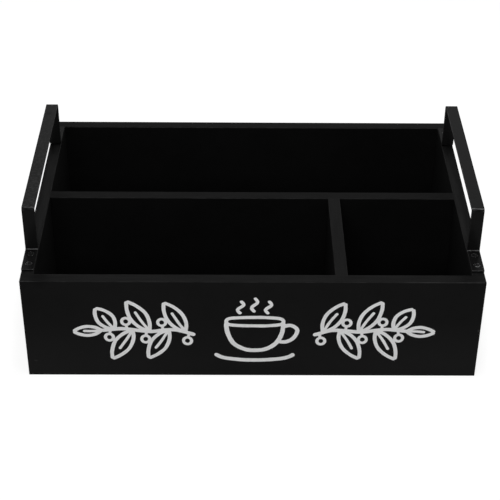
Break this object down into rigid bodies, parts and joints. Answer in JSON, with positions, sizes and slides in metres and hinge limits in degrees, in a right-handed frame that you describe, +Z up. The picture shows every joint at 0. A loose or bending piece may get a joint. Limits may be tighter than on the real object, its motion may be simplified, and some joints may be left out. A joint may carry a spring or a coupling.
{
  "type": "coffee station organizer",
  "caption": "Open black wooden organizer box with long and short dividers and bent steel strip handles, for cups, pods and sachets on a counter.",
  "frame": {"origin": "middle of the underside of the box, on the surface that it stands on", "axes": "+X to the right along the length, seen from the front; +Y from the front wall to the back wall; +Z up"},
  "size_m": [0.43, 0.296, 0.161],
  "materials": {
    "painted_board": "satin black paint on smooth fibreboard",
    "painted_steel": "satin black paint",
    "screw_steel": "black oxide, satin",
    "brad_steel": "plain drawn wire",
    "painted_filler": "sanded flush and painted with the board",
    "motif_paint": "matt pale grey hand paint"
  },
  "bodies": {
    "root": {"front_panel": "painted_board", "back_panel": "painted_board", "left_panel": "painted_board", "right_panel": "painted_board", "bottom_panel": "painted_board", "long_divider": "painted_board", "short_divider": "painted_board", "left_handle": "painted_steel", "right_handle": "painted_steel", "left_front_screws": "screw_steel", "left_rear_screws": "screw_steel", "right_front_screws": "screw_steel", "right_rear_screws": "screw_steel", "front_brads": "brad_steel", "back_brads": "brad_steel", "left_brads": "brad_steel", "right_brads": "brad_steel", "bottom_brads": "brad_steel", "divider_brads": "brad_steel", "front_fillers": "painted_filler", "back_fillers": "painted_filler", "left_fillers": "painted_filler", "right_fillers": "painted_filler", "bottom_fillers": "painted_filler", "divider_fillers": "painted_filler"}
  },
  "joints": []
}
